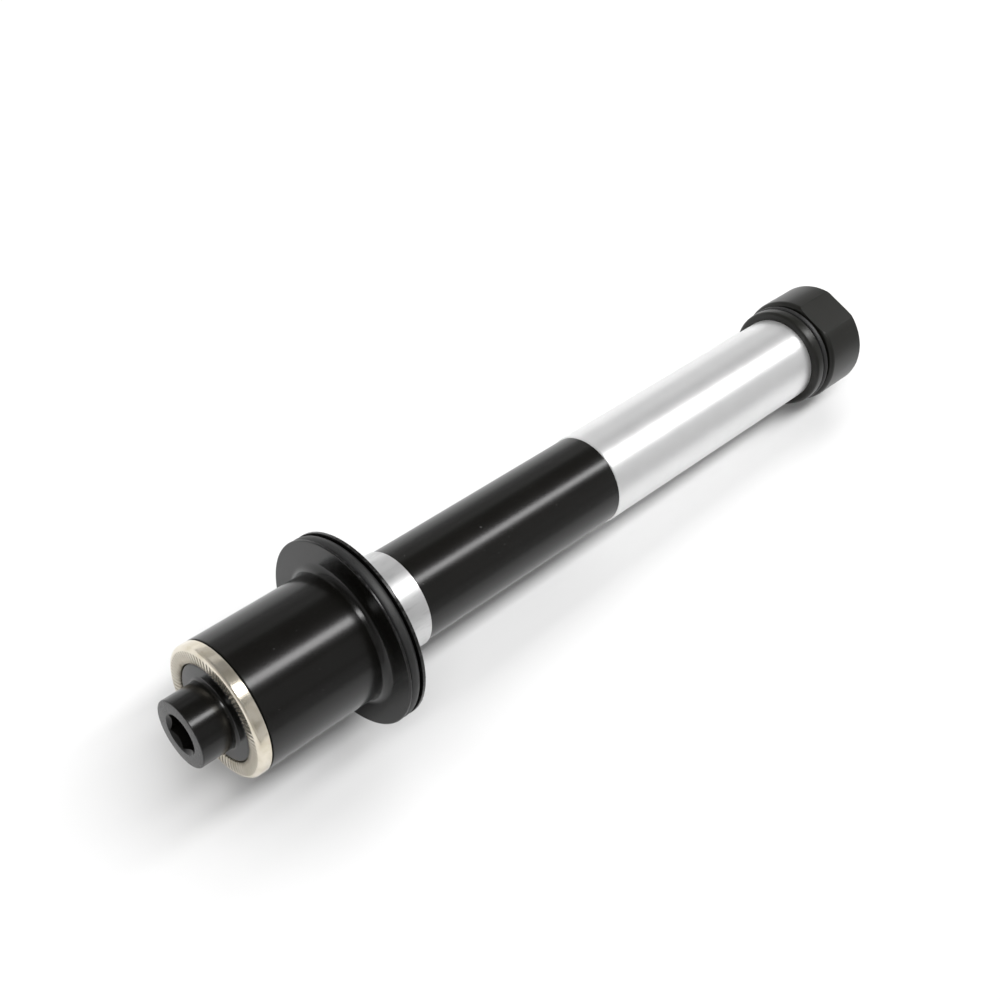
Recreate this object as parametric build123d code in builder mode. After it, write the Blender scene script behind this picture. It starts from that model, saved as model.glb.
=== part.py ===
"""Rear hub axle set for 135 mm quick-release dropouts: an axle tube with a screw-on cap at each end.

Millimetres. X runs along the axle from the left end to the right, drive end. The origin is on the
axis at the left dropout face, and Z is square to the wrench flats of the right cap.
"""
from build123d import *
import math
import os

# Frame and skewer
dropout_spacing = 135.0  # from one serrated face to the other
dropout_spigot_radius = 5.0
spigot_edge = 0.2
spigot_root_radius = 0.5
skewer_bore_radius = 2.6  # passes the 5 mm skewer of a quick release

# Axle tube
axle_radius = 7.5
axle_wall = 1.4  # from the tube's bore to its bearing seats
axle_end_chamfer = 0.5
bearing_width = 7.0  # bearing bore 15, outside 28
band_length = 39.8  # black stretch between the bare bearing seats
band_relief = 0.17  # the band is this much under the seats, so that a bearing slides past it
band_edge = 0.1

# Threaded ends of the axle and the caps' sockets, with the threads modelled plain
thread_relief = 0.25  # the threads are this much under the bearing seats
thread_clearance = 0.03
socket_lead_in = 0.1
socket_end_gap = 0.3  # the cap stops at the shoulder of the bearing seat, before the tube's end

# Left cap
left_spigot_length = 5.1
left_cap_length = 24.3  # from the dropout face to the bearing race
left_end_wall = 8.3  # from the dropout face to the socket's floor
sleeve_radius = 9.85
sleeve_edge = 0.15
hex_across_flats = 5.1
hex_depth = 4.8
hex_mouth = 0.15
hex_turn = 10.0  # degrees from Y
flange_radius = 14.36
flange_thickness = 2.8
flange_edge = 0.12
flange_root_radius = 1.2
race_contact_wall = 1.3  # touches the bearing's inner race only
race_contact_height = 0.4
race_contact_edge = 0.15

# Seal ring in the flange's rim
flange_seal_section = 1.8
flange_groove_width = 2.0
flange_front_lip = 0.3
flange_seal_sink = 0.02  # the seal's crest lies this much under the rim
seal_seat_gap = 0.02

# Serrated ring on the left cap
left_ring_thickness = 1.86
left_ring_bore_radius = 7.37
left_ring_edge_radius = 0.5
left_boss_recess = 0.15  # the boss stops this far behind the serrated face
left_boss_edge = 0.45
ring_seat_clearance = 0.02
left_serration_count = 80
left_serration_depth = 0.34
left_serration_end_radius = 9.35
serration_angle = 80.0  # included angle of the grooves

# Right cap
right_spigot_length = 4.4
right_cap_length = 12.7
right_end_wall = 2.7  # from the socket's floor to the dropout face
collar_wall = 1.35
collar_length = 1.8
collar_edge_radius = 0.6
cap_front_edge_radius = 0.8
cap_end_edge = 0.3
wrench_across_flats = 17.0
flat_depth = 0.95
flat_edge_radius = 0.3

# Seal ring behind the right cap's collar
cap_seal_section = 1.0
cap_groove_width = 1.8
cap_seal_stand = 0.12  # how far the seal stands above the collar

# Serrated ring in the right cap's end
right_ring_radius = 7.8
right_ring_bore_radius = 6.2
right_ring_thickness = 1.8
right_ring_edge_radius = 0.25
right_ring_stand = 0.2  # the ring stands this far out of the cap's end
right_boss_edge = 0.3
right_serration_count = 50
right_serration_depth = 0.3

match_tolerance = 0.001


def ring_edges(piece, x, radius):
    """Round edges of a turned piece at one place along the axle."""
    return [
        edge
        for edge in piece.edges().filter_by(GeomType.CIRCLE)
        if abs(edge.arc_center.X - x) < match_tolerance
        and abs(edge.radius - radius) < match_tolerance
    ]


def turned_groove(start_x, width, floor_radius, outer_radius):
    """Section of a groove in the rim of a turned piece."""
    with Locations((start_x, floor_radius)):
        Rectangle(width, outer_radius - floor_radius + 1, align=Align.MIN)


def serration_cutter(face_x, direction, inner_radius, end_radius, depth):
    """One V groove across a ring's face, deepest at the bore and running out at end_radius.

    It is a pyramid on its side: its base stands one groove depth inside the bore, its tip is on
    the ring's face, and direction is +1 for a groove cut towards +X and -1 towards -X.
    """
    slope = depth / (end_radius - inner_radius)
    base_radius = inner_radius - depth
    base_depth = slope * (end_radius - base_radius)
    overshoot = depth
    tip_radius = end_radius + overshoot / slope
    half_width = math.tan(math.radians(serration_angle / 2))
    top_x = face_x - direction * overshoot
    bottom_x = face_x + direction * base_depth
    reach = (base_depth + overshoot) * half_width
    base_left = Vector(top_x, -reach, base_radius)
    base_right = Vector(top_x, reach, base_radius)
    base_bottom = Vector(bottom_x, 0, base_radius)
    tip = Vector(top_x, 0, tip_radius)
    faces = [
        Face(Wire.make_polygon(corners, close=True))
        for corners in (
            (base_left, base_right, base_bottom),
            (base_left, base_bottom, tip),
            (base_right, tip, base_bottom),
            (base_left, tip, base_right),
        )
    ]
    return Solid(Shell(faces))


# Places along the axle
left_spigot_end_x = -left_spigot_length
right_spigot_end_x = dropout_spacing + right_spigot_length
left_race_x = left_cap_length
right_race_x = dropout_spacing - right_cap_length
band_start_x = left_race_x + bearing_width
band_end_x = band_start_x + band_length
left_socket_floor_x = left_end_wall
right_socket_floor_x = dropout_spacing - right_end_wall
flange_back_x = left_race_x - race_contact_height
flange_front_x = flange_back_x - flange_thickness
left_ring_back_x = left_ring_thickness

# Axle tube, bored through, with a bare seat at each end of its black band
axle_bore_radius = axle_radius - axle_wall
band_radius = axle_radius - band_relief
thread_radius = axle_radius - thread_relief
axle_start_x = left_socket_floor_x + socket_end_gap
axle_end_x = right_socket_floor_x - socket_end_gap
with BuildPart() as axle:
    with BuildSketch(Plane.XZ):
        with BuildLine():
            Polyline(
                (axle_start_x, axle_bore_radius),
                (axle_start_x, thread_radius),
                (left_race_x, thread_radius),
                (left_race_x, axle_radius),
                (band_start_x, axle_radius),
                (band_start_x + band_edge, band_radius),
                (band_end_x - band_edge, band_radius),
                (band_end_x, axle_radius),
                (right_race_x, axle_radius),
                (right_race_x, thread_radius),
                (axle_end_x, thread_radius),
                (axle_end_x, axle_bore_radius),
                close=True,
            )
        make_face()
    revolve(axis=Axis.X)
    chamfer(ring_edges(axle, axle_start_x, thread_radius), axle_end_chamfer)
    chamfer(ring_edges(axle, axle_end_x, thread_radius), axle_end_chamfer)
axle.part.label = "axle"

# Left cap: spigot with the hexagon, boss for the serrated ring, sleeve and flange in one piece
boss_face_x = left_boss_recess
left_boss_radius = left_ring_bore_radius - ring_seat_clearance
socket_radius = thread_radius + thread_clearance
race_contact_radius = axle_radius + race_contact_wall
flange_groove_x = flange_front_x + flange_front_lip
flange_groove_floor_radius = (
    flange_radius - flange_seal_sink - flange_seal_section - seal_seat_gap
)
with BuildPart() as left_end_cap:
    with BuildSketch(Plane.XZ):
        with BuildLine():
            Polyline(
                (left_spigot_end_x, skewer_bore_radius),
                (left_spigot_end_x, dropout_spigot_radius),
                (boss_face_x, dropout_spigot_radius),
                (boss_face_x, left_boss_radius),
                (left_ring_back_x, left_boss_radius),
                (left_ring_back_x, sleeve_radius),
                (flange_front_x, sleeve_radius),
                (flange_front_x, flange_radius),
                (flange_back_x, flange_radius),
                (flange_back_x, race_contact_radius),
                (left_race_x, race_contact_radius),
                (left_race_x, socket_radius),
                (left_socket_floor_x, socket_radius),
                (left_socket_floor_x, skewer_bore_radius),
                close=True,
            )
        make_face()
    revolve(axis=Axis.X)
    chamfer(ring_edges(left_end_cap, left_spigot_end_x, dropout_spigot_radius), spigot_edge)
    chamfer(ring_edges(left_end_cap, boss_face_x, left_boss_radius), left_boss_edge)
    chamfer(ring_edges(left_end_cap, left_ring_back_x, sleeve_radius), sleeve_edge)
    chamfer(ring_edges(left_end_cap, left_race_x, race_contact_radius), race_contact_edge)
    chamfer(ring_edges(left_end_cap, left_race_x, socket_radius), socket_lead_in)
    flange_rim = ring_edges(left_end_cap, flange_front_x, flange_radius)
    flange_rim += ring_edges(left_end_cap, flange_back_x, flange_radius)
    chamfer(flange_rim, flange_edge)
    fillet(ring_edges(left_end_cap, boss_face_x, dropout_spigot_radius), spigot_root_radius)
    fillet(ring_edges(left_end_cap, flange_front_x, sleeve_radius), flange_root_radius)
    with BuildSketch(Plane.XZ):
        turned_groove(
            flange_groove_x, flange_groove_width, flange_groove_floor_radius, flange_radius
        )
    revolve(axis=Axis.X, mode=Mode.SUBTRACT)
    with BuildSketch(Plane.YZ.offset(left_spigot_end_x)):
        RegularPolygon(hex_across_flats / 2, 6, major_radius=False, rotation=hex_turn)
    extrude(amount=hex_depth, mode=Mode.SUBTRACT)
    hex_corner_radius = hex_across_flats / 2 / math.cos(math.pi / 6)
    with BuildSketch(Plane.XZ):
        with BuildLine():
            Polyline(
                (left_spigot_end_x, 0),
                (left_spigot_end_x, hex_corner_radius + hex_mouth),
                (left_spigot_end_x + hex_corner_radius + hex_mouth, 0),
                close=True,
            )
        make_face()
    revolve(axis=Axis.X, mode=Mode.SUBTRACT)
left_end_cap.part.label = "left_end_cap"

# Left serrated ring, pressed on the cap's boss against the sleeve
with BuildPart() as left_dropout_ring:
    with BuildSketch(Plane.YZ):
        Circle(sleeve_radius)
        Circle(left_ring_bore_radius, mode=Mode.SUBTRACT)
    extrude(amount=left_ring_thickness)
    fillet(ring_edges(left_dropout_ring, 0, sleeve_radius), left_ring_edge_radius)
    left_cutter = serration_cutter(
        0, 1, left_ring_bore_radius, left_serration_end_radius, left_serration_depth
    )
    add(
        [
            left_cutter.rotate(Axis.X, tooth * 360 / left_serration_count)
            for tooth in range(left_serration_count)
        ],
        mode=Mode.SUBTRACT,
    )
left_dropout_ring.part.label = "left_dropout_ring"

# Rubber ring in the flange's groove
flange_seal_radius = flange_groove_floor_radius + seal_seat_gap + flange_seal_section / 2
with BuildPart() as flange_seal_ring:
    with BuildSketch(Plane.XZ):
        with Locations((flange_groove_x + flange_groove_width / 2, flange_seal_radius)):
            Circle(flange_seal_section / 2)
    revolve(axis=Axis.X)
flange_seal_ring.part.label = "flange_seal_ring"

# Right cap: collar against the bearing, seal groove, and a body with two wrench flats
cap_end_x = dropout_spacing - right_ring_stand
cap_body_radius = wrench_across_flats / 2 + flat_depth
collar_radius = axle_radius + collar_wall
right_ring_front_x = dropout_spacing - right_ring_thickness
cap_body_x = right_race_x + collar_length + cap_groove_width
cap_groove_floor_radius = collar_radius + cap_seal_stand - cap_seal_section - seal_seat_gap
right_boss_radius = right_ring_bore_radius - ring_seat_clearance
right_recess_radius = right_ring_radius + ring_seat_clearance
with BuildPart() as right_end_cap:
    with BuildSketch(Plane.YZ.offset(cap_body_x)):
        Circle(cap_body_radius)
    extrude(amount=cap_end_x - cap_body_x)
    fillet(ring_edges(right_end_cap, cap_body_x, cap_body_radius), cap_front_edge_radius)
    chamfer(ring_edges(right_end_cap, cap_end_x, cap_body_radius), cap_end_edge)
    with BuildSketch(Plane.YZ.offset(cap_body_x)):
        Rectangle(2 * cap_body_radius, wrench_across_flats)
    extrude(amount=cap_end_x - cap_body_x, mode=Mode.INTERSECT)
    fillet(faces().filter_by(Axis.Z).edges(), flat_edge_radius)
    with BuildSketch(Plane.XZ):
        with BuildLine():
            Polyline(
                (right_race_x, 0),
                (right_race_x, collar_radius),
                (right_race_x + collar_length, collar_radius),
                (right_race_x + collar_length, cap_groove_floor_radius),
                (cap_body_x, cap_groove_floor_radius),
                (cap_end_x, cap_groove_floor_radius),
                (cap_end_x, dropout_spigot_radius),
                (right_spigot_end_x, dropout_spigot_radius),
                (right_spigot_end_x, 0),
                close=True,
            )
        make_face()
    revolve(axis=Axis.X)
    with BuildSketch(Plane.YZ.offset(right_ring_front_x)):
        Circle(right_recess_radius)
        Circle(right_boss_radius, mode=Mode.SUBTRACT)
    extrude(amount=right_ring_thickness, mode=Mode.SUBTRACT)
    with BuildSketch(Plane.YZ.offset(right_race_x)):
        Circle(socket_radius)
    extrude(amount=right_socket_floor_x - right_race_x, mode=Mode.SUBTRACT)
    with BuildSketch(Plane.YZ.offset(right_race_x)):
        Circle(skewer_bore_radius)
    extrude(amount=right_spigot_end_x - right_race_x, mode=Mode.SUBTRACT)
    chamfer(ring_edges(right_end_cap, right_spigot_end_x, dropout_spigot_radius), spigot_edge)
    chamfer(ring_edges(right_end_cap, cap_end_x, right_boss_radius), right_boss_edge)
    chamfer(ring_edges(right_end_cap, right_race_x, socket_radius), socket_lead_in)
    fillet(ring_edges(right_end_cap, right_race_x, collar_radius), collar_edge_radius)
    fillet(ring_edges(right_end_cap, cap_end_x, dropout_spigot_radius), spigot_root_radius)
right_end_cap.part.label = "right_end_cap"

# Rubber ring behind the collar
cap_seal_radius = cap_groove_floor_radius + seal_seat_gap + cap_seal_section / 2
with BuildPart() as right_seal_ring:
    with BuildSketch(Plane.XZ):
        with Locations((cap_body_x - cap_groove_width / 2, cap_seal_radius)):
            Circle(cap_seal_section / 2)
    revolve(axis=Axis.X)
right_seal_ring.part.label = "right_seal_ring"

# Right serrated ring, pressed into the cap's end
right_serration_end_radius = right_ring_radius - right_ring_edge_radius
with BuildPart() as right_dropout_ring:
    with BuildSketch(Plane.YZ.offset(right_ring_front_x)):
        Circle(right_ring_radius)
        Circle(right_ring_bore_radius, mode=Mode.SUBTRACT)
    extrude(amount=right_ring_thickness)
    fillet(
        ring_edges(right_dropout_ring, dropout_spacing, right_ring_radius), right_ring_edge_radius
    )
    right_cutter = serration_cutter(
        dropout_spacing,
        -1,
        right_ring_bore_radius,
        right_serration_end_radius,
        right_serration_depth,
    )
    add(
        [
            right_cutter.rotate(Axis.X, tooth * 360 / right_serration_count)
            for tooth in range(right_serration_count)
        ],
        mode=Mode.SUBTRACT,
    )
right_dropout_ring.part.label = "right_dropout_ring"

os.makedirs("parts", exist_ok=True)
export_step(axle.part, "parts/axle.step")
export_step(left_end_cap.part, "parts/left_end_cap.step")
export_step(left_dropout_ring.part, "parts/left_dropout_ring.step")
export_step(flange_seal_ring.part, "parts/flange_seal_ring.step")
export_step(right_end_cap.part, "parts/right_end_cap.step")
export_step(right_seal_ring.part, "parts/right_seal_ring.step")
export_step(right_dropout_ring.part, "parts/right_dropout_ring.step")
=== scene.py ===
"""Looks of the rear hub axle set: tube, turned caps, serrated rings and rubber seals."""
import math

import bmesh
import bpy
from mathutils import Matrix, Vector


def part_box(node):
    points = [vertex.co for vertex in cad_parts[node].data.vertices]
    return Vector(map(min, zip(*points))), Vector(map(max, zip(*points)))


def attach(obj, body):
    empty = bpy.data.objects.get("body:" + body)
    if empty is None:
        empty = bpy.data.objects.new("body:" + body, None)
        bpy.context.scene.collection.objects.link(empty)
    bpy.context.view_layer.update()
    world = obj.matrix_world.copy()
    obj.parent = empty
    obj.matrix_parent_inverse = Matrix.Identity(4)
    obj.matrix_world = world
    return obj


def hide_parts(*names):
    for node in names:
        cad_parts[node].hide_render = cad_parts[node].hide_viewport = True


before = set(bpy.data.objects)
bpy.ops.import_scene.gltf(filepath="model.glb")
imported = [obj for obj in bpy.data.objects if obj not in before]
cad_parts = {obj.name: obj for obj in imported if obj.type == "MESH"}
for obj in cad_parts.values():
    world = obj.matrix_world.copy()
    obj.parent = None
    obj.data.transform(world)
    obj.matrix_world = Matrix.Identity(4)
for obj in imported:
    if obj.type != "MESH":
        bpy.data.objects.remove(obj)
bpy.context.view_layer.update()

MM = 0.001
FULL_TURN = 2 * math.pi
STEPS = 192  # facets around each turned piece
SAME_PLACE = 1e-7  # metres


def span(node):
    """Start and end along the axle, and the radius of a CAD node, in millimetres."""
    low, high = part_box(node)
    return low.x / MM, high.x / MM, high.y / MM


# Places along the axle and radii, in millimetres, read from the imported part
spigot_end, bearing_race, flange_radius = span("left_end_cap")
ring_face, ring_back, ring_radius = span("left_dropout_ring")
collar_face, right_spigot_end, body_radius = span("right_end_cap")
right_ring_front, right_face, right_ring_radius = span("right_dropout_ring")
tube_start, tube_end, tube_radius = span("axle")
seal_start, seal_end, seal_crest = span("flange_seal_ring")
cap_seal_start, cap_seal_end, cap_seal_crest = span("right_seal_ring")
flat_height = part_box("right_end_cap")[1].z / MM

# Tube, in millimetres as all sizes below
tube_bore = 6.1
thread_radius = 7.25
thread_lead = 0.45
seat_length = 7.0
band_length = 39.8
band_start = bearing_race + seat_length
band_end = band_start + band_length
band_radius = 7.33
band_edge = 0.1
seat_corner = 0.03

# Left cap
spigot_radius = 5.0
skewer_bore = 2.6
boss_face = 0.15
boss_radius = 7.35
sleeve_radius = ring_radius
joint_width = 0.2  # dark line between ring and sleeve
joint_depth = 0.3
race_height = 0.4
race_radius = 8.8
flange_thickness = 2.8
flange_back = bearing_race - race_height
flange_front = flange_back - flange_thickness
front_lip = 0.3
seal_groove_width = 2.0
groove_start = flange_front + front_lip
groove_end = groove_start + seal_groove_width
groove_floor = 12.52
socket_radius = thread_radius + 0.03
socket_end_gap = 0.3
hex_apothem = 2.55
hex_depth = 4.8
hex_mouth_radius = 3.09
hex_turn = math.radians(10)
hex_facet = FULL_TURN / 6

# Serrated rings
left_teeth = 80
left_tooth_depth = 0.34
left_ring_bore = 7.37
left_rim = 0.65
right_teeth = 50
right_tooth_depth = 0.3
right_ring_bore = 6.2
right_rim = 0.3

# Right cap
collar_radius = 8.85
collar_length = 1.8
cap_groove_width = 1.8
cap_groove_floor = 7.95
collar_end = collar_face + collar_length
body_start = collar_end + cap_groove_width
body_end = right_face - 0.2
recess_radius = 7.82
right_boss_radius = 6.18
flat_corner = 0.25


def turned(outline, start_angle=0.0, steps=STEPS):
    """A closed body spun about the axle from an outline of (along, radius, rounding).

    The outline is in millimetres. A corner with no rounding stays sharp.
    """
    body = bmesh.new()
    corners = [body.verts.new((x * MM, r * MM, 0)) for x, r, *_ in outline]
    for corner, following in zip(corners, corners[1:] + corners[:1]):
        body.edges.new((corner, following))
    for corner, (_, _, *rounding) in zip(corners, outline):
        if rounding:
            bmesh.ops.bevel(
                body, geom=[corner], offset=rounding[0] * MM, offset_type="OFFSET",
                segments=6, profile=0.5, affect="VERTICES", material=-1,
            )
    start = Matrix.Rotation(start_angle, 3, "X")
    bmesh.ops.rotate(body, verts=body.verts[:], cent=(0, 0, 0), matrix=start)
    spin_full(body, steps)
    return body


def spin_full(body, steps):
    """Spin a profile once about the axle and close the seam."""
    bmesh.ops.spin(
        body, geom=body.verts[:] + body.edges[:], cent=(0, 0, 0), axis=(1, 0, 0),
        angle=FULL_TURN, steps=steps, use_merge=True,
    )
    bmesh.ops.remove_doubles(body, verts=body.verts[:], dist=SAME_PLACE)


def on_ring(body, x, radius):
    """Points of a turned body on one circle about the axle, given in millimetres."""
    def near(length, wanted):
        return abs(length - wanted * MM) < 10 * SAME_PLACE

    return [
        v for v in body.verts
        if near(v.co.x, x) and near(math.hypot(v.co.y, v.co.z), radius)
    ]


def piece(name, body, material, node, sharp=28.0):
    """Finish a body as an object that stands for a CAD node and rides with the part.

    Edges that turn by more than sharp degrees stay sharp.
    """
    bmesh.ops.recalc_face_normals(body, faces=body.faces[:])
    for edge in body.edges:
        edge.smooth = edge.calc_face_angle(0.0) < math.radians(sharp)
    for face in body.faces:
        face.smooth = True
    made = placed(name, body, material)
    weighted = made.modifiers.new("weighted normals", "WEIGHTED_NORMAL")
    weighted.keep_sharp = True
    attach(made, "root")
    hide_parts(node)


def placed(name, body, material):
    """Put a body into the scene as an object of one material."""
    mesh = bpy.data.meshes.new(name)
    body.to_mesh(mesh)
    body.free()
    mesh.materials.append(material)
    made = bpy.data.objects.new(name, mesh)
    bpy.context.scene.collection.objects.link(made)
    return made


# Materials


class Value:
    """A number worked out by a material's nodes, written as a Python expression."""

    def __init__(self, graph, socket):
        self.graph = graph
        self.socket = socket

    def maths(self, operation, *terms):
        """One Math node. The terms are all its inputs, so self is named among them."""
        made = self.graph.node(
            "ShaderNodeMath", {"operation": operation}, dict(enumerate(terms))
        )
        return Value(self.graph, made.outputs[0])

    def __add__(self, other):
        return self.maths("ADD", self, other)

    def __radd__(self, other):
        return self.maths("ADD", other, self)

    def __sub__(self, other):
        return self.maths("SUBTRACT", self, other)

    def __rsub__(self, other):
        return self.maths("SUBTRACT", other, self)

    def __mul__(self, other):
        return self.maths("MULTIPLY", self, other)

    def __rmul__(self, other):
        return self.maths("MULTIPLY", other, self)

    def __pow__(self, other):
        return self.maths("POWER", self, other)

    def ramp(self, start, end):
        """0 at start, 1 at end, and smooth between them."""
        made = self.graph.node(
            "ShaderNodeMapRange",
            {"interpolation_type": "SMOOTHSTEP"},
            {"Value": self, "From Min": start, "From Max": end},
        )
        return Value(self.graph, made.outputs[0])


class Graph:
    """The nodes of a material or of the world."""

    def __init__(self, tree):
        self.nodes = tree.nodes
        self.links = tree.links

    def node(self, kind, settings=(), sockets=()):
        """A node of that kind, its settings made first, then its values and links."""
        made = self.nodes.new(kind)
        for setting, value in dict(settings).items():
            setattr(made, setting, value)
        for socket, value in dict(sockets).items():
            if isinstance(value, Value):
                value = value.socket
            if isinstance(value, bpy.types.NodeSocket):
                self.links.new(value, made.inputs[socket])
            else:
                made.inputs[socket].default_value = value
        return made


class Finish(Graph):
    """One material, with the places on the part that its patterns follow."""

    def __init__(self, name, **constants):
        self.material = bpy.data.materials.new(name)
        self.material.use_nodes = True
        super().__init__(self.material.node_tree)
        self.shader = self.nodes["Principled BSDF"]
        for socket, value in constants.items():
            self.shader.inputs[socket.replace("_", " ")].default_value = value
        self.place = self.node("ShaderNodeTexCoord").outputs["Object"]
        parts = self.node("ShaderNodeSeparateXYZ", {}, {"Vector": self.place}).outputs
        self.along = Value(self, parts["X"]) * (1 / MM)
        across = Value(self, parts["Y"]) * (1 / MM)
        up = Value(self, parts["Z"]) * (1 / MM)
        self.radius = (across * across + up * up) ** 0.5
        self.angle = up.maths("ARCTAN2", up, across)

    def noise(self, scale, detail=2.0, stretch=(1, 1, 1)):
        """Noise from 0 to 1, scale in features per millimetre."""
        place = self.node(
            "ShaderNodeMapping",
            {},
            {"Vector": self.place, "Scale": [s / MM for s in stretch]},
        ).outputs[0]
        made = self.node(
            "ShaderNodeTexNoise", {}, {"Vector": place, "Scale": scale, "Detail": detail}
        )
        return Value(self, made.outputs[0])

    def streaks(self, along, scale, detail):
        """Noise from 0 to 1 that changes only with one value."""
        made = self.node(
            "ShaderNodeTexNoise",
            {"noise_dimensions": "1D"},
            {"W": along, "Scale": scale, "Detail": detail},
        )
        return Value(self, made.outputs[0])

    def lathe_marks(self, pitch):
        """Uneven rings about the axle, as a turning tool leaves them."""
        return self.streaks(self.along + self.radius * 1.3, 1 / pitch, 3.0)

    def mix(self, factor, first, second):
        """A colour between two colours."""
        made = self.node(
            "ShaderNodeMix", {"data_type": "RGBA"}, {0: factor, 6: first, 7: second}
        )
        return made.outputs[2]

    def feed(self, socket, value):
        if isinstance(value, Value):
            value = value.socket
        self.links.new(value, self.shader.inputs[socket])

    def relief(self, height, depth):
        """Bump of that depth in millimetres."""
        made = self.node(
            "ShaderNodeBump",
            {},
            {"Height": height, "Distance": depth * MM, "Strength": 1.0},
        )
        self.feed("Normal", made.outputs[0])


def grey(level):
    return (level, level, level, 1)


def black_anodised():
    """Satin black coat on turned aluminium, a little lighter where corners rub."""
    dark_coat = (0.0022, 0.0020, 0.0016, 1)
    light_coat = (0.0038, 0.0036, 0.0030, 1)
    far_coat = (0.008, 0.008, 0.006, 1)
    finish = Finish("black_anodised_turned", Metallic=0.0, Specular_IOR_Level=0.4)
    clouds = finish.noise(0.25, 3.0)
    marks = finish.lathe_marks(0.12)
    grain = finish.noise(7.0, 2.0)
    specks = finish.noise(2.2, 1.0).ramp(0.74, 0.80)
    far_cap = finish.along.ramp(collar_face - 1, collar_face)
    flange_rim = finish.radius.ramp(flange_radius - 0.10, flange_radius)
    spigot_tip = finish.along.ramp(spigot_end + 0.25, spigot_end)
    worn = (flange_rim + spigot_tip) * finish.noise(1.4, 3.0).ramp(0.35, 0.75) * 0.35
    coat = finish.mix(clouds, dark_coat, light_coat)
    coat = finish.mix(far_cap * 0.6, coat, far_coat)
    coat = finish.mix(worn, coat, grey(0.05))
    coat = finish.mix(specks * 0.2, coat, grey(0.06))
    finish.feed("Base Color", coat)
    finish.feed(
        "Roughness", 0.15 + marks * 0.06 + clouds * 0.05 + worn * 0.3 + far_cap * 0.14
    )
    finish.relief(marks * 0.6 + grain * 0.4, 0.0030)
    return finish.material


def bare_and_banded_tube():
    """Bright turned aluminium, with the black band between the bearing seats and painted
    shade on the seat by the flange.
    """
    dark_coat = (0.0024, 0.0022, 0.0017, 1)
    light_coat = (0.0042, 0.0040, 0.0032, 1)
    finish = Finish("turned_aluminium_banded", Specular_IOR_Level=0.4)
    # The coat ends where the steps down from the seats do, so the steps stay bare
    left_edge = finish.along.ramp(band_start + 0.04, band_start + band_edge)
    right_edge = finish.along.ramp(band_end - band_edge, band_end - band_edge - 0.03)
    band = left_edge * right_edge
    clouds = finish.noise(0.2, 3.0)
    marks = finish.lathe_marks(0.10)
    drag = finish.lathe_marks(1.6)
    scuffs = finish.noise(1.1, 4.0, (0.25, 1, 1)).ramp(0.45, 0.75)
    # The left bearing seat is darkened in colour: painted shade from the flange beside it,
    # made patchy by real scuffs
    seat_shade = finish.along.ramp(band_start + 1, band_start)
    metal = finish.mix(clouds, grey(0.74), grey(0.81))
    metal = finish.mix(seat_shade * (0.45 + scuffs * 0.45), metal, grey(0.50))
    coat = finish.mix(clouds, dark_coat, light_coat)
    dust = finish.noise(1.6, 1.0).ramp(0.76, 0.81) * 0.22
    coat = finish.mix(dust, coat, grey(0.12))
    finish.feed("Base Color", finish.mix(band, metal, coat))
    finish.feed("Metallic", (1 - band) * 0.80)
    bare_roughness = 0.28 + marks * 0.08 + drag * 0.06
    band_roughness = 0.16 + marks * 0.08 + clouds * 0.06
    finish.feed("Roughness", bare_roughness + band * (band_roughness - bare_roughness))
    finish.relief(marks, 0.0020)
    return finish.material


def nickel_plate(name, teeth, land_end):
    """Slightly warm nickel on steel, with painted shade in the grooves that run out at
    land_end.
    """
    dull_nickel = (0.68, 0.62, 0.50, 1)
    bright_nickel = (0.82, 0.76, 0.65, 1)
    # Colour of the painted shade in the grooves
    groove_shade = (0.11, 0.10, 0.08, 1)
    finish = Finish(name, Metallic=0.9)
    clouds = finish.noise(0.5, 3.0)
    toothed = finish.radius.ramp(land_end + 0.15, land_end - 0.15)
    brushing = finish.streaks(finish.angle, 140.0, 2.0) * toothed
    turn = finish.angle * (teeth / FULL_TURN)
    groove = turn.maths("PINGPONG", turn, 0.5).ramp(0.34, 0.10) * toothed
    metal = finish.mix(clouds.ramp(0.3, 0.7), dull_nickel, bright_nickel)
    # The grooves get painted shade, a dark colour where shade would fall in them
    finish.feed("Base Color", finish.mix(groove * 0.85, metal, groove_shade))
    finish.feed("Roughness", 0.17 + brushing * 0.14 + clouds * 0.03 + groove * 0.2)
    finish.relief(brushing, 0.003)
    return finish.material


def seal_rubber():
    """Smooth moulded rubber with a faint bloom."""
    finish = Finish("moulded_rubber", Metallic=0.0, IOR=1.5)
    bloom = finish.noise(0.6, 4.0)
    finish.feed("Base Color", finish.mix(bloom, grey(0.008), grey(0.016)))
    finish.feed("Roughness", 0.42 + bloom * 0.16)
    finish.relief(finish.noise(6.0, 2.0), 0.004)
    return finish.material


left_land_end = ring_radius - left_rim
right_land_end = right_ring_radius - right_rim
black = black_anodised()
aluminium = bare_and_banded_tube()
left_nickel = nickel_plate("nickel_plated_left_serrations", left_teeth, left_land_end)
right_nickel = nickel_plate("nickel_plated_right_serrations", right_teeth, right_land_end)
rubber = seal_rubber()


# Pieces


def hollow_tube():
    body = turned([
        (tube_start, tube_bore, 0.1),
        (tube_start, thread_radius, thread_lead),
        (bearing_race, thread_radius),
        (bearing_race, tube_radius, seat_corner),
        (band_start, tube_radius, seat_corner),
        (band_start + band_edge, band_radius),
        (band_end - band_edge, band_radius),
        (band_end, tube_radius, seat_corner),
        (collar_face, tube_radius, seat_corner),
        (collar_face, thread_radius),
        (tube_end, thread_radius, thread_lead),
        (tube_end, tube_bore, 0.1),
    ])
    piece("axle_tube", body, aluminium, "axle")


def hexagon_radius(angle):
    """Distance from the axis to the wall of the hexagonal key hole, in millimetres."""
    from_corner = (angle - hex_turn) % hex_facet
    return hex_apothem / math.cos(from_corner - hex_facet / 2)


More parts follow.
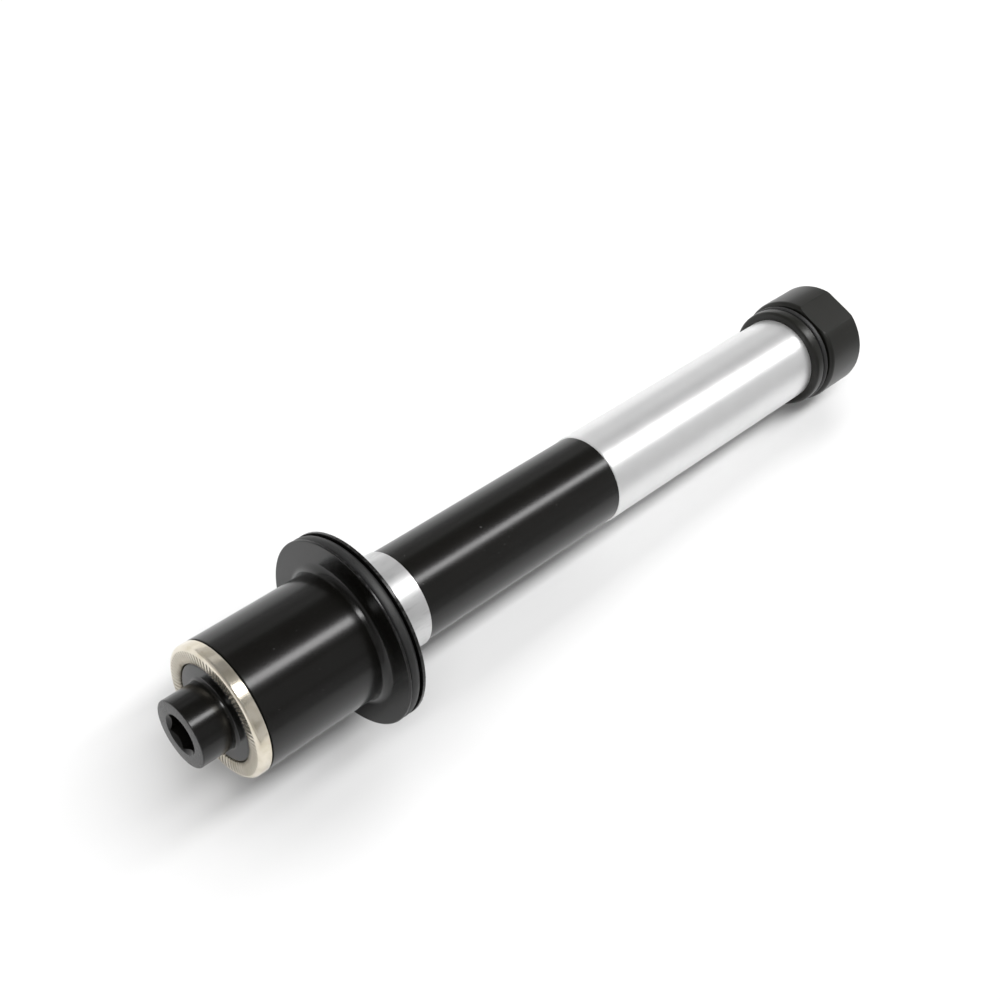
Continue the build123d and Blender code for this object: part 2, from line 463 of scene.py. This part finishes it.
def left_cap():
    # The key hole is turned round first, then its two rings are drawn out to a hexagon
    hex_radius = hex_apothem + 0.1
    hex_start = spigot_end + 0.2
    hex_floor = spigot_end + hex_depth
    socket_end = tube_start - socket_end_gap
    joint_back = ring_back + joint_width
    joint_floor = sleeve_radius - joint_depth
    body = turned([
        (spigot_end, hex_mouth_radius),
        (spigot_end, spigot_radius, 0.2),
        (boss_face, spigot_radius, 0.5),
        (boss_face, boss_radius, 0.45),
        (ring_back, boss_radius),
        (ring_back, joint_floor),
        (joint_back, joint_floor),
        (joint_back, sleeve_radius, 0.12),
        (flange_front, sleeve_radius, 1.2),
        (flange_front, flange_radius, 0.2),
        (groove_start, flange_radius, 0.06),
        (groove_start, groove_floor, 0.1),
        (groove_end, groove_floor, 0.1),
        (groove_end, flange_radius, 0.08),
        (flange_back, flange_radius, 0.12),
        (flange_back, race_radius),
        (bearing_race, race_radius, 0.15),
        (bearing_race, socket_radius, 0.1),
        (socket_end, socket_radius),
        (socket_end, skewer_bore),
        (hex_floor, skewer_bore),
        (hex_floor, hex_radius),
        (hex_start, hex_radius),
    ], start_angle=hex_turn)
    mouth = on_ring(body, hex_start, hex_radius)
    for vert in mouth + on_ring(body, hex_floor, hex_radius):
        wall = hexagon_radius(math.atan2(vert.co.z, vert.co.y))
        if vert in mouth:
            vert.co.x = (spigot_end + hex_mouth_radius - wall) * MM
        vert.co.yz = vert.co.yz.normalized() * wall * MM
    piece("left_end_cap_turned", body, black, "left_end_cap")


def in_groove(vert, teeth):
    """Whether a point of a serrated ring is at the middle of a groove, not of a land."""
    turn = math.atan2(vert.co.z, vert.co.y) / FULL_TURN * teeth
    return abs(turn - round(turn)) < 0.25


def serrate(body, teeth, face_x, bore, land_end, depth):
    """Cut V grooves across a ring's face, which has two facets for each tooth.

    Every second point at the bore sinks by depth, and each flank is split so that its
    floor line runs out at land_end.
    """
    inner = set(on_ring(body, face_x, bore))
    outer = set(on_ring(body, face_x, land_end))
    for face in [f for f in body.faces if inner & set(f.verts) and outer & set(f.verts)]:
        land = [v for v in face.verts if v in inner and not in_groove(v, teeth)]
        tip = [v for v in face.verts if v in outer and in_groove(v, teeth)]
        bmesh.utils.face_split(face, land[0], tip[0])
    for vert in inner:
        if in_groove(vert, teeth):
            vert.co.x += depth * MM


def left_ring():
    body = turned([
        (ring_face, left_ring_bore),
        (ring_face, ring_radius, left_rim),
        (ring_back, ring_radius, 0.12),
        (ring_back, left_ring_bore),
    ], steps=2 * left_teeth)
    serrate(body, left_teeth, ring_face, left_ring_bore, left_land_end, left_tooth_depth)
    piece(
        "left_serrated_ring", body, left_nickel,
        "left_dropout_ring", sharp=20.0,
    )


def right_ring():
    body = turned([
        (right_face, right_ring_bore),
        (right_face, right_ring_radius, right_rim),
        (right_ring_front, right_ring_radius),
        (right_ring_front, right_ring_bore),
    ], steps=2 * right_teeth)
    serrate(
        body, right_teeth, right_face, right_ring_bore, right_land_end, -right_tooth_depth
    )
    piece(
        "right_serrated_ring", body, right_nickel,
        "right_dropout_ring", sharp=20.0,
    )


def seal(name, start, end, crest, node):
    """A rubber ring of round section in its groove."""
    section = (end - start) / 2
    middle = Vector((start + section, crest - section, 0)) * MM
    body = bmesh.new()
    bmesh.ops.create_circle(body, segments=32, radius=section * MM)
    bmesh.ops.translate(body, verts=body.verts[:], vec=middle)
    spin_full(body, STEPS)
    piece(name, body, rubber, node, sharp=60.0)


def cut_flat(body, side):
    """Mill a wrench flat square to Z off the cap's body, and round the flat's edges."""
    region = {f for f in body.faces if f.calc_center_median().x > (body_start - 0.05) * MM}
    for face in list(region):
        region.update(face.verts, face.edges)
    bmesh.ops.bisect_plane(
        body, geom=list(region), dist=1e-8, plane_co=(0, 0, side * flat_height * MM),
        plane_no=(0, 0, side), clear_outer=True,
    )
    rim = [e for e in body.edges if e.is_boundary]
    flat = bmesh.ops.holes_fill(body, edges=rim, sides=0)["faces"]
    corners = [
        e for f in flat for e in f.edges if e.calc_face_angle(0.0) > math.radians(15)
    ]
    bmesh.ops.bevel(
        body, geom=corners, offset=flat_corner * MM, offset_type="OFFSET", segments=3,
        profile=0.5, affect="EDGES", material=-1, clamp_overlap=True,
    )


def right_cap():
    socket_end = tube_end + socket_end_gap
    body = turned([
        (collar_face, socket_radius, 0.1),
        (collar_face, collar_radius, 0.6),
        (collar_end, collar_radius, 0.08),
        (collar_end, cap_groove_floor, 0.1),
        (body_start, cap_groove_floor, 0.1),
        (body_start, body_radius, 0.8),
        (body_end, body_radius, 0.3),
        (body_end, recess_radius),
        (right_ring_front, recess_radius),
        (right_ring_front, right_boss_radius),
        (body_end, right_boss_radius, 0.3),
        (body_end, spigot_radius, 0.5),
        (right_spigot_end, spigot_radius, 0.2),
        (right_spigot_end, skewer_bore),
        (socket_end, skewer_bore),
        (socket_end, socket_radius),
    ])
    for side in (1, -1):
        cut_flat(body, side)
    piece("right_end_cap_turned", body, black, "right_end_cap")


hollow_tube()
left_cap()
left_ring()
seal("flange_rubber_ring", seal_start, seal_end, seal_crest, "flange_seal_ring")
right_cap()
seal("right_rubber_ring", cap_seal_start, cap_seal_end, cap_seal_crest, "right_seal_ring")
right_ring()


# Floor, light and camera


def white_floor():
    """Pale floor that shows near white and keeps the part's shadow.

    It is tilted as the part rests: on the flange's rim and the right cap's lower flat.
    """
    paint = Finish("pale_floor")
    paint.feed("Base Color", paint.mix(paint.noise(0.01), grey(0.645), grey(0.665)))
    paint.feed("Roughness", 0.55 + paint.noise(0.05) * 0.05)
    glow = paint.node("ShaderNodeEmission", {}, {"Color": (1, 1, 1, 1), "Strength": 1.0})
    ray = paint.node("ShaderNodeLightPath").outputs
    shown = (
        Value(paint, ray["Is Camera Ray"]) + ray["Is Glossy Ray"] + ray["Is Transmission Ray"]
    )
    both = paint.node(
        "ShaderNodeMixShader",
        {},
        {0: shown * 0.06, 1: paint.shader.outputs[0], 2: glow.outputs[0]},
    )
    paint.links.new(both.outputs[0], paint.nodes["Material Output"].inputs["Surface"])

    middle_x = 60
    rest_tilt = math.atan2(flange_radius - flat_height, body_end - flange_back)
    middle_z = (middle_x - flange_back) * math.tan(rest_tilt) - flange_radius
    tilt = Matrix.Rotation(-rest_tilt, 3, "Y")
    middle = Vector((middle_x, 0, middle_z)) * MM
    body = bmesh.new()
    bmesh.ops.create_grid(body, x_segments=1, y_segments=1, size=2.0)
    bmesh.ops.rotate(body, verts=body.verts[:], cent=(0, 0, 0), matrix=tilt)
    bmesh.ops.translate(body, verts=body.verts[:], vec=middle)
    placed("floor", body, paint.material)


def strip_light(name, along, out, width, length, watts, mirrored=True):
    """A long lamp parallel to the axle that shines on it, with or without a highlight.

    It is at along on the axle and (Y, Z) out to one side of it, in metres.
    """
    lamp = bpy.data.lights.new(name, "AREA")
    lamp.shape = "RECTANGLE"
    lamp.size = width
    lamp.size_y = length
    lamp.energy = watts
    made = bpy.data.objects.new(name, lamp)
    made.location = (along, *out)
    lengthwise = Vector((1, 0, 0))
    outwards = Vector((0, *out)).normalized()
    turn = Matrix((lengthwise.cross(outwards), lengthwise, outwards)).transposed()
    made.rotation_euler = turn.to_euler()
    made.visible_glossy = mirrored
    bpy.context.scene.collection.objects.link(made)


def studio_sky():
    """Soft light from low all round, fading to a darker ceiling."""
    low_light = 0.48
    ceiling_fall = 0.37
    world = bpy.data.worlds.new("studio")
    world.use_nodes = True
    sky = Graph(world.node_tree)
    direction = sky.node("ShaderNodeTexCoord").outputs["Generated"]
    parts = sky.node("ShaderNodeSeparateXYZ", {}, {"Vector": direction}).outputs
    strength = low_light - ceiling_fall * Value(sky, parts["Z"]).ramp(0.20, 0.58)
    background = sky.nodes["Background"].inputs
    background["Color"].default_value = (1, 1, 1, 1)
    sky.links.new(strength.socket, background["Strength"])
    bpy.context.scene.world = world


def photo_camera():
    """The photo's view: place and picture axes of the camera fitted to the round edges."""
    place = Vector((-59.58, -45.38, 162.91)) * MM
    right = Vector((0.70589, -0.63874, 0.3063))
    up = Vector((0.43100, 0.73046, 0.5299))
    camera = bpy.data.cameras.new("camera")
    camera.lens = 48.56
    camera.sensor_width = 36.0
    camera.clip_start = 0.01
    viewer = bpy.data.objects.new("camera", camera)
    turn = Matrix((right, up, right.cross(up))).transposed()
    viewer.matrix_world = Matrix.Translation(place) @ turn.to_4x4()
    bpy.context.scene.collection.objects.link(viewer)
    bpy.context.scene.camera = viewer


white_floor()
strip_light("key_strip", 0.25, (-0.060, 0.60), width=0.12, length=1.5, watts=6.8)
strip_light("side_strip", 0.42, (0.50, 0.33), width=0.14, length=1.0, watts=0.14)
strip_light("rear_panel", 0.25, (-0.42, 0.42), width=0.32, length=1.5, watts=0.4)
strip_light(
    "fill_panel", 0.10, (0.33, 0.50), width=0.25, length=1.1, watts=3.2, mirrored=False
)
studio_sky()
photo_camera()
bpy.context.scene.view_settings.view_transform = "Standard"
